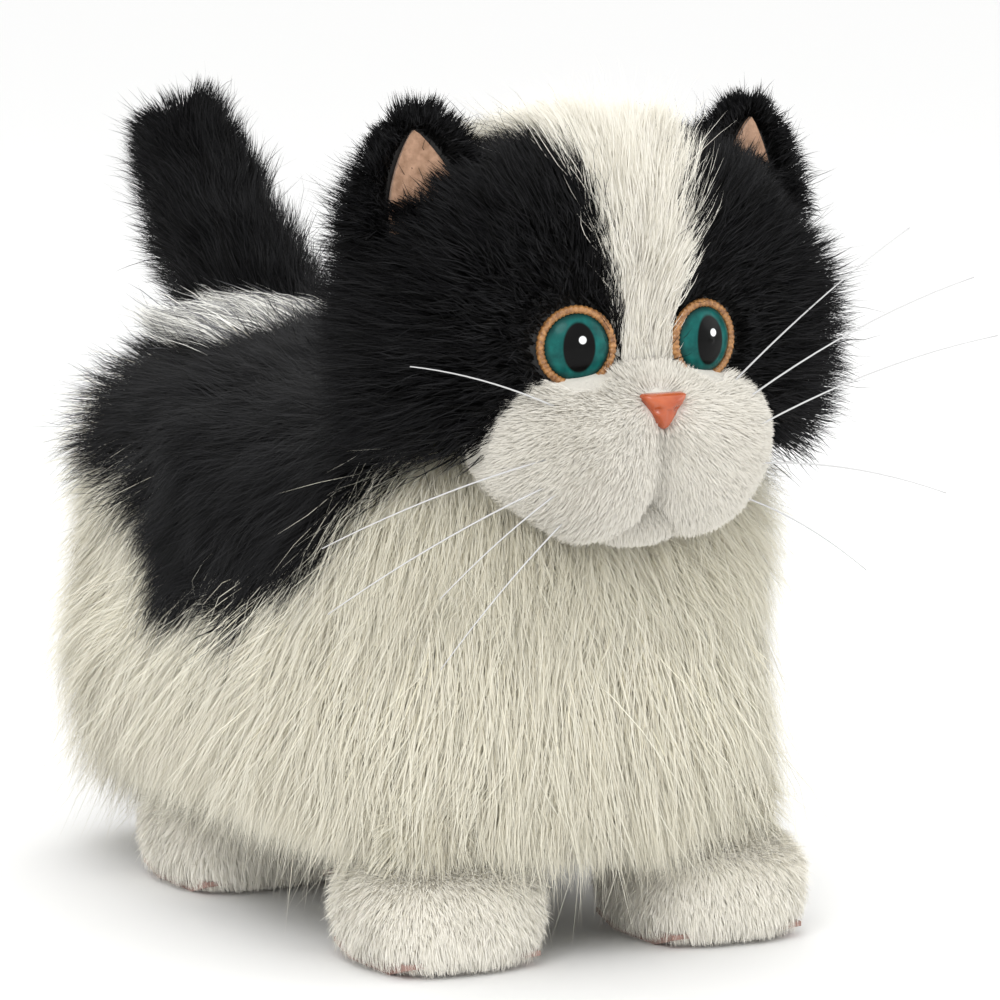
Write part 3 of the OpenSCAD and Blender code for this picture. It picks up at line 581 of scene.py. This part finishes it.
def eye_material():
    """Teal iris with an upright black pupil and a painted highlight dot, drawn in the eye's own flat
    coordinates.
    """
    mat, nodes, links, shader = new_material("eye_lens")
    place = nodes.new("ShaderNodeAttribute")
    place.attribute_name = "eye_place"
    split = nodes.new("ShaderNodeSeparateXYZ")
    links.new(place.outputs["Vector"], split.inputs["Vector"])

    def math_node(kind, a, b=None):
        node = nodes.new("ShaderNodeMath")
        node.operation = kind
        for socket, value in zip(node.inputs, (a, b)):
            if value is None:
                continue
            if isinstance(value, (int, float)):
                socket.default_value = value
            else:
                links.new(value, socket)
        return node.outputs[0]

    def oval(cx, cz, rx, rz):
        x = math_node("DIVIDE", math_node("SUBTRACT", split.outputs["X"], cx), rx)
        z = math_node("DIVIDE", math_node("SUBTRACT", split.outputs["Z"], cz), rz)
        return math_node("SQRT", math_node("ADD", math_node("MULTIPLY", x, x),
                                           math_node("MULTIPLY", z, z)))

    def edge(distance, inside, outside, softness):
        step = nodes.new("ShaderNodeMapRange")
        step.inputs["From Min"].default_value = 1 - softness
        step.inputs["From Max"].default_value = 1 + softness
        links.new(distance, step.inputs["Value"])
        mix = nodes.new("ShaderNodeMix")
        mix.data_type = "RGBA"
        links.new(step.outputs["Result"], mix.inputs["Factor"])
        for index, value in ((COLOUR_A, inside), (COLOUR_B, outside)):
            socket = mix.inputs[index]
            if isinstance(value, tuple):
                socket.default_value = value
            else:
                links.new(value, socket)
        return mix.outputs[COLOUR_RESULT]

    streaks = nodes.new("ShaderNodeTexNoise")
    streaks.inputs["Scale"].default_value = 3.0
    streaks.inputs["Detail"].default_value = 5
    links.new(place.outputs["Vector"], streaks.inputs["Vector"])
    tones = nodes.new("ShaderNodeValToRGB")
    tones.color_ramp.elements[0].color = (0.003, 0.055, 0.052, 1)
    tones.color_ramp.elements[1].color = (0.008, 0.125, 0.112, 1)
    tones.color_ramp.elements[0].position = 0.3
    tones.color_ramp.elements[1].position = 0.7
    links.new(streaks.outputs["Fac"], tones.inputs["Fac"])
    iris = edge(oval(0, 0, 0.90, 0.90), tones.outputs["Color"], (0.004, 0.012, 0.012, 1), 0.10)
    pupil = edge(oval(0.0, 0.0, 0.48, 0.72), (0.001, 0.001, 0.001, 1), iris, 0.05)
    # The white dot above the pupil is a painted highlight, standing in for a reflection of the lamps
    painted_highlight = edge(oval(0.09, 0.22, 0.11, 0.11), (0.95, 0.97, 0.97, 1), pupil, 0.15)
    links.new(painted_highlight, shader.inputs["Base Color"])
    shader.inputs["Roughness"].default_value = 0.28
    shader.inputs["Specular IOR Level"].default_value = 0.10
    shader.inputs["Coat Weight"].default_value = 0.06
    shader.inputs["Coat Roughness"].default_value = 0.05
    return mat


def eye_axis(s):
    """Where each eye faces: forward, a little out to its side."""
    return unit([s * 0.22, -1.0, 0.02])


def eye_frame(s):
    out = eye_axis(s)
    across = unit(np.cross(UP, out))
    return out, across, unit(np.cross(out, across))


RIM_RADIUS, RIM_TUBE = 9.2, 1.05
RIM_RIB, RIM_RIBS = 0.10, 48


def build_eyes():
    lens = eye_material()
    rim = noise_material("eye_rim", (0.20, 0.08, 0.022), (0.46, 0.22, 0.07), 900,
                         roughness=(0.25, 0.5), bump=0.3, coat=0.3)
    for side, s in SIDES.items():
        out, across, up = eye_frame(s)
        centre = np.array([s * EYE_X, EYE_Y, EYE_Z + 0.5])
        rings, spokes, radius, bulge = 12, 48, 8.6, 5.2
        points, places = [centre + out * bulge], [(0.0, 0.0, 0.0)]
        for i in range(1, rings + 1):
            f = i / rings
            for j in range(spokes):
                a = 2 * math.pi * j / spokes
                x, z = f * math.cos(a), f * math.sin(a)
                height = bulge * math.sqrt(max(0.0, 1 - (0.93 * f) ** 2)) - bulge * 0.08
                points.append(centre + out * height + radius * (x * across + z * up))
                places.append((x, 0.0, z))
        faces = [(0, 1 + j, 1 + (j + 1) % spokes) for j in range(spokes)]
        for i in range(rings - 1):
            a, b = 1 + i * spokes, 1 + (i + 1) * spokes
            faces += [(a + j, b + j, b + (j + 1) % spokes, a + (j + 1) % spokes)
                      for j in range(spokes)]
        eye = add_mesh(f"eye_{side}", points, faces, [lens])
        attribute = eye.data.attributes.new("eye_place", "FLOAT_VECTOR", "POINT")
        attribute.data.foreach_set("vector", np.array(places, np.float32).ravel())
        finish_piece(eye, "head", ["eyes"])

        # The rim is a ring with fine ribs across it, like rolled plush trim
        steps, around = 6 * RIM_RIBS, 10
        points, faces = [], []
        for j in range(steps):
            a = 2 * math.pi * j / steps
            rib = RIM_TUBE + RIM_RIB * math.cos(a * RIM_RIBS)
            radial = math.cos(a) * across + math.sin(a) * up
            for k in range(around):
                b = 2 * math.pi * k / around
                points.append(centre + radial * (RIM_RADIUS + rib * math.cos(b))
                              + out * (1.6 + rib * math.sin(b)))
        for j in range(steps):
            for k in range(around):
                n, m = (j + 1) % steps, (k + 1) % around
                faces.append((j * around + k, n * around + k, n * around + m, j * around + m))
        ring = add_mesh(f"eye_rim_{side}", points, faces, [rim])
        finish_piece(ring, "head", ["eye_rims"])


def build_nose():
    """A moulded triangle with rounded corners, two nostrils and a groove below them."""
    gloss = noise_material("nose_plastic", (0.36, 0.060, 0.014), (0.48, 0.100, 0.028), 160,
                           roughness=(0.2, 0.3), bump=0.05, coat=0.4)
    rows, columns = 20, 60
    half_w, half_h, rise, corner_power = 3.9, 3.3, 4.4, 6
    points, faces = [], []
    centre = NOSE_CENTRE
    # A rounded triangle: its three flat sides face these ways, the first of them up
    flats = [math.radians(a) for a in (90, 210, 330)]
    for i in range(rows + 1):
        f = math.sin(0.5 * math.pi * i / rows)
        out = rise * math.cos(0.5 * math.pi * i / rows) ** 0.6
        for j in range(columns):
            a = 2 * math.pi * j / columns
            sides = sum(max(0.0, math.cos(a - b)) ** corner_power for b in flats)
            reach = f * sides ** (-1 / corner_power)
            x, z = half_w * reach * math.cos(a), half_h * reach * math.sin(a)
            nostril = 1.3 * math.exp(-(((abs(x) - 2.5) / 1.0) ** 2 + ((z + 0.6) / 0.8) ** 2))
            groove = 0.5 * math.exp(-(x / 0.6) ** 2) * (z < -0.5)
            points.append(centre + np.array([x, -(out - nostril - groove), z]))
    for i in range(rows):
        for j in range(columns):
            k = (j + 1) % columns
            faces.append((i * columns + j, (i + 1) * columns + j,
                          (i + 1) * columns + k, i * columns + k))
    nose = add_mesh("nose_tip", points, faces, [gloss])
    finish_piece(nose, "head", ["nose"])


EAR_ROOT = np.array([44.5, -95.0, 185.5])
EAR_HEIGHT = 26.5


def ear_point(s, u, v, depth):
    """u runs across the ear from -1 to 1, v from root 0 to tip 1, depth is toward the front."""
    width = 16.0 * (1 - v ** 1.6) ** 0.6
    cup = 3.6 * u * u * (1 - v * 0.6)
    x, y, z = u * width, 1.5 - depth - cup, v * EAR_HEIGHT
    tilt, turn = math.radians(8) * s, math.radians(14) * s
    x, z = x * math.cos(tilt) + z * math.sin(tilt), z * math.cos(tilt) - x * math.sin(tilt)
    x, y = x * math.cos(turn) - y * math.sin(turn), x * math.sin(turn) + y * math.cos(turn)
    return EAR_ROOT * [s, 1, 1] + [x, y, z]


def ear_leaf(name, s, u_scale, v_scale, depth, thickness, material):
    """A cupped leaf of cloth with a front, a back and a closed edge."""
    across, up = 20, 18
    points = []
    for layer in (depth, depth + thickness):
        for i in range(up + 1):
            for j in range(across + 1):
                u = (2 * j / across - 1) * u_scale * (1 - (i / up) ** 3) ** 0.5
                points.append(ear_point(s, u, 0.99 * (i / up) * v_scale, layer))
    first = (up + 1) * (across + 1)
    faces = []
    for i in range(up):
        for j in range(across):
            a = i * (across + 1) + j
            quad = (a, a + 1, a + across + 2, a + across + 1)
            faces += [quad[::-1], tuple(k + first for k in quad)]
    rim = [i * (across + 1) for i in range(up)]
    rim += [up * (across + 1) + j for j in range(across)]
    rim += [i * (across + 1) + across for i in range(up, 0, -1)]
    rim += [j for j in range(across, 0, -1)]
    for a, b in zip(rim, rim[1:] + rim[:1]):
        faces.append((a, b, b + first, a + first))
    return add_mesh(name, points, faces, [material])


def build_ears():
    felt = noise_material("ear_felt", (0.30, 0.17, 0.10), (0.48, 0.29, 0.19), 420,
                          roughness=(0.8, 0.95), bump=0.6, sheen=0.3)
    rng = np.random.default_rng(51)
    for side, s in SIDES.items():
        back = ear_leaf(f"ear_back_{side}", s, 1.0, 1.0, 0.0, 1.0, black_backing)
        finish_piece(back, "head", ["ear_shells"])
        lining = ear_leaf(f"ear_lining_{side}", s, 0.62, 0.94, 1.3, 0.9, felt)
        finish_piece(lining, "head", ["ear_linings"])
        count = 14000
        u = rng.uniform(-1, 1, count)
        v = rng.uniform(0, 0.98, count)
        front = rng.random(count) < 0.5
        edge = np.sqrt((u / 0.66) ** 2 + (v / 0.93) ** 6)
        keep = ~front | (edge > 1.0) | (v < 0.22 + 0.2 * (s > 0))
        u, v, front = u[keep], v[keep], front[keep]
        facing = np.where(front, 1.0, -1.0)
        roots = np.array([ear_point(s, a, b, 1.2 if f else -0.2)
                          for a, b, f in zip(u, v, front)])
        middle = np.array([ear_point(s, 0, b * 0.8, 0.5) for b in v])
        outward = unit(roots - middle)
        normals = unit(np.stack([np.zeros(len(u)), -facing, np.zeros(len(u))], 1) + 0.6 * outward)
        start = unit(normals * 0.7 + outward * 0.6 + UP * 0.35)
        end = unit(outward + UP * 0.35 + normals * 0.35)
        length = np.where(front, 9.0, 14.0) * (1 - 0.45 * v)
        fur = grow(f"ear_fur_{side}", roots, normals, start, end, length, 0.34, black_fur, rng,
                   rings=4, clumps=110, clump_pull=0.35, curl=1.2, curl_size=7, stray=0.35, loose=0.12)
        finish_piece(fur, "head", ["ear_shells"])


def tube(points, radii, sides=8):
    """Vertices and faces of a round rod along a path in mm."""
    points = np.asarray(points, float)
    vertices, faces = [], []
    guide = UP if abs(unit(points[1] - points[0])[2]) < 0.9 else BACK
    for i, p in enumerate(points):
        ahead = points[min(i + 1, len(points) - 1)] - points[max(i - 1, 0)]
        t = unit(ahead)
        a = unit(np.cross(t, guide))
        b = np.cross(t, a)
        for k in range(sides):
            w = 2 * math.pi * k / sides
            vertices.append(p + radii[i] * (math.cos(w) * a + math.sin(w) * b))
    for i in range(len(points) - 1):
        for k in range(sides):
            m = (k + 1) % sides
            faces.append((i * sides + k, i * sides + m, (i + 1) * sides + m, (i + 1) * sides + k))
    faces.append(tuple(range(sides))[::-1])
    faces.append(tuple((len(points) - 1) * sides + k for k in range(sides)))
    return vertices, faces


# Whiskers of one side: root across and up, end height above the root, sweep back, reach, sag
WHISKERS = {
    "right": [(21, 141, 14, 8, 42, 2), (23, 133, -22, 18, 60, 2), (24, 127, -32, 16, 58, 2),
              (17, 129, -30, 2, 42, 2), (17, 121, -40, 2, 40, 2)],
    "left": [(20, 144, 38, 12, 62, 2), (23, 141, 28, 10, 76, 3), (23, 134, 20, 10, 82, 3),
             (22, 127, -12, 6, 66, 3), (18, 121, -24, 2, 46, 3)],
}


WHISKER_R = 0.26
WHISKER_STEPS = 12


def build_whiskers():
    """Five fine tapered rods on each side, sagging a little."""
    nylon, _, _, shader = new_material("whisker_nylon")
    shader.inputs["Base Color"].default_value = (0.55, 0.55, 0.55, 1)
    shader.inputs["Roughness"].default_value = 0.25
    vertices, faces = [], []
    for side, rows in WHISKERS.items():
        s = SIDES[side]
        for x, z, rise, sweep, reach, sag in rows:
            up = z - MUZZLE_C[2]
            root = np.array([s * x, MUZZLE_C[1] - 19 + 0.03 * up * up, z])
            path = []
            for i in range(WHISKER_STEPS + 1):
                f = i / WHISKER_STEPS
                path.append(root + np.array([s * reach * f, sweep * f,
                                             rise * f + sag * 4 * f * (1 - f)]))
            radii = [WHISKER_R * (1 - 0.5 * i / WHISKER_STEPS) for i in range(WHISKER_STEPS + 1)]
            v, f = tube(path, radii)
            faces += [tuple(k + len(vertices) for k in face) for face in f]
            vertices += v
    rods = add_mesh("whisker_rods", vertices, faces, [nylon])
    finish_piece(rods, "head", ["whiskers"])


# ---------- legs ----------

def build_leg(end, side, seed):
    """A plush boot and the furry sleeve of the ankle above it."""
    s = SIDES[side]
    y = HIP_Y[end]
    body = f"leg_{end}_{side}"
    boot_node = f"boot_{end}_{side}"
    boot = Form([s * LEG_X, y, 14], low=[23, 24.5, 12], high=[23, 22, 13.5], power=2.9)
    skin = boot.skin(f"boot_skin_{end}_{side}", [plush_backing], rows=28, columns=44)
    finish_piece(skin, body, [boot_node])
    sleeve = Form([s * LEG_X, y, 34], low=[12.5, 11.5, 18], high=[12, 11.5, 13], power=2.6)
    upper = sleeve.skin(f"leg_skin_{end}_{side}", [plush_backing], rows=20, columns=32)
    finish_piece(upper, body, [boot_node])
    rng = np.random.default_rng(seed)
    roots, normals = boot.scatter(28000, rng, lambda p, n: ramp(n[:, 2], -0.95, -0.8))
    flow = unit(tangential(np.broadcast_to([0, -0.25, -1.0], roots.shape), normals) + 1e-4)
    length = 5.0 + 2.5 * ramp(-normals[:, 2], 0.0, 0.7)
    fur = plush(f"boot_fur_{end}_{side}", roots, normals, flow, length, boot_plush, rng,
                width=0.27, pull=0.12, lift=0.5)
    finish_piece(fur, body, [boot_node])
    roots, normals = sleeve.scatter(7000, rng, lambda p, n: (np.abs(n[:, 2]) < 0.7) * 1.0)
    drop = unit(tangential(np.broadcast_to([0, 0, -1.0], roots.shape), normals) + 1e-4)
    fur = grow(f"ankle_fur_{end}_{side}", roots, normals, unit(normals + drop * 0.7),
               unit(drop + normals * 0.5), 15.0, 0.40, white_fur, rng, rings=4,
               clumps=140, clump_pull=0.35, curl=1.6, curl_size=10, stray=0.2, roll=0.2)
    finish_piece(fur, body, [boot_node])


# ---------- tail ----------

TAIL_PATH = np.array([[0, 70, 126], [-2, 87, 143], [-4, 105, 162], [-6, 119, 179], [-8, 126, 192]],
                     float)
TAIL_REACH = np.linspace(0, 1, len(TAIL_PATH))
TAIL_R = 10.5


def tail_at(f):
    return np.stack([np.interp(f, TAIL_REACH, TAIL_PATH[:, k]) for k in range(3)], -1)


def tail_radius(f):
    return TAIL_R * (1 - 0.62 * f ** 1.6) * (0.7 + 0.3 * ramp(f, 0, 0.3))


def build_tail():
    rng = np.random.default_rng(61)
    stations = np.linspace(0, 1, 16)
    v, f = tube(tail_at(stations), [float(r) for r in tail_radius(stations)], sides=20)
    skin = add_mesh("tail_skin", v, f, [black_backing])
    finish_piece(skin, "tail", ["tail_coat"])
    for i in range(2):
        count = 13000
        f = rng.uniform(0, 1, count) ** 0.9
        a = rng.uniform(0, 2 * math.pi, count)
        axis = unit(tail_at(np.clip(f + 0.08, 0, 1)) - tail_at(np.clip(f - 0.08, 0, 1)))
        side = unit(np.cross(axis, UP))
        normals = np.cos(a)[:, None] * side + np.sin(a)[:, None] * np.cross(axis, side)
        roots = tail_at(f) + normals * tail_radius(f)[:, None]
        start = unit(normals * 0.75 + axis * 0.6)
        end = unit(normals * 0.45 + axis * 0.8 + BACK * 0.15)
        fur = grow(f"tail_fur_{i}", roots, normals, start, end, 25.0 - 9 * f, 0.36,
                   black_fur, rng, rings=5, clumps=260, clump_pull=0.35, curl=2.0, curl_size=12,
                   stray=0.2, roll=0.3, loose=0.08)
        finish_piece(fur, "tail", ["tail_coat"])


# ---------- CAD nodes that stay ----------

def dress_nodes():
    """Procedural finishes for the frames, gears and housings, by the record's slots."""
    finishes = {
        "housing_dark": noise_material("housing_dark", (0.02, 0.02, 0.022), (0.05, 0.05, 0.055),
                                       90, bump=0.25, bump_scale=1400),
        "frame_grey": noise_material("frame_grey", (0.36, 0.36, 0.37), (0.46, 0.46, 0.47), 60,
                                     roughness=(0.4, 0.55), bump=0.15, bump_scale=900),
        "gear_nylon": noise_material("gear_nylon", (0.66, 0.64, 0.58), (0.76, 0.74, 0.68), 80,
                                     roughness=(0.35, 0.5), bump=0.1),
        "lever_blue": noise_material("lever_blue", (0.04, 0.10, 0.22), (0.06, 0.14, 0.28), 70,
                                     roughness=(0.35, 0.5), bump=0.1),
        "steel": noise_material("steel", (0.45, 0.45, 0.46), (0.62, 0.62, 0.63), 200,
                                roughness=(0.22, 0.4), bump=0.1, metallic=1.0, stretch=(1, 8, 8)),
        "brass": noise_material("brass", (0.50, 0.33, 0.12), (0.66, 0.46, 0.20), 200,
                                roughness=(0.25, 0.4), bump=0.05, metallic=1.0),
        "board_green": noise_material("board_green", (0.01, 0.10, 0.04), (0.02, 0.16, 0.07), 150,
                                      roughness=(0.3, 0.5), bump=0.1),
        "cell_foil": noise_material("cell_foil", (0.35, 0.24, 0.06), (0.55, 0.40, 0.12), 40,
                                    roughness=(0.2, 0.35), bump=0.02, metallic=0.6),
        "switch_red": noise_material("switch_red", (0.35, 0.02, 0.015), (0.48, 0.04, 0.03), 90,
                                     roughness=(0.35, 0.5), bump=0.1),
        "sole_rubber": noise_material("sole_rubber", (0.30, 0.17, 0.14), (0.42, 0.27, 0.23), 220,
                                      roughness=(0.6, 0.8), bump=0.4, bump_scale=1800),
        "padding_foam": noise_material("padding_foam", (0.60, 0.56, 0.42), (0.74, 0.70, 0.56), 500,
                                       roughness=(0.8, 0.95), bump=0.8),
    }
    slots = {s["node"]: s["material_slot"] for s in frame["record"]["subparts"]}
    for node, obj in frame["nodes"].items():
        mat = finishes.get(slots.get(node))
        if mat is None:
            continue
        for i in range(max(1, len(obj.material_slots))):
            if len(obj.data.materials) <= i:
                obj.data.materials.append(mat)
            else:
                obj.data.materials[i] = mat


# ---------- stage ----------

def build_stage():
    bpy.context.scene.view_settings.view_transform = "Standard"
    floor_mat, nodes, links, shader = new_material("studio_floor")
    shader.inputs["Base Color"].default_value = (0.86, 0.86, 0.855, 1)
    shader.inputs["Roughness"].default_value = 0.75
    bpy.ops.mesh.primitive_plane_add(size=80, location=(0, 0, 0))
    floor = bpy.context.object
    floor.name = "studio_floor"
    floor.data.materials.append(floor_mat)
    world = bpy.data.worlds.new("studio")
    bpy.context.scene.world = world
    world.use_nodes = True
    world.node_tree.nodes["Background"].inputs["Color"].default_value = (1, 1, 1, 1)
    world.node_tree.nodes["Background"].inputs["Strength"].default_value = 1.12
    for name, place, size, power in (("key", (-0.9, -1.1, 1.3), 0.9, 11),
                                     ("fill", (1.3, -0.8, 0.8), 1.1, 4),
                                     ("top", (0.1, 0.5, 1.6), 1.2, 6)):
        light = bpy.data.lights.new(name, "AREA")
        light.shape = "DISK"
        light.size = size
        light.energy = power
        lamp = bpy.data.objects.new(name, light)
        lamp.location = place
        aim = Vector((0, -0.02, 0.1)) - Vector(place)
        lamp.rotation_euler = aim.to_track_quat("-Z", "Y").to_euler()
        bpy.context.scene.collection.objects.link(lamp)


def build_camera():
    """A long lens at the kitten's right front, a little above its head."""
    azimuth, elevation, distance = math.radians(-28), math.radians(7.8), 1.5
    back = Vector((math.sin(azimuth) * math.cos(elevation),
                   -math.cos(azimuth) * math.cos(elevation), math.sin(elevation)))
    right = Vector((math.cos(azimuth), math.sin(azimuth), 0))
    up = right.cross(-back)
    aim = Vector((0, -0.035, 0.110)) + right * 0.00685 - up * 0.0020
    camera = bpy.data.cameras.new("camera")
    camera.lens = 207.4
    camera.sensor_width = 36
    camera.clip_end = 20
    obj = bpy.data.objects.new("camera", camera)
    obj.location = aim + back * distance
    obj.rotation_euler = (-back).to_track_quat("-Z", "Y").to_euler()
    bpy.context.scene.collection.objects.link(obj)
    bpy.context.scene.camera = obj


build_stage()
build_camera()
dress_nodes()
build_body()
build_head()
build_muzzle()
build_chin()
build_eyes()
build_nose()
build_ears()
build_whiskers()
build_tail()
for number, (end, side) in enumerate([(e, s) for e in HIP_Y for s in SIDES]):
    build_leg(end, side, 71 + number)
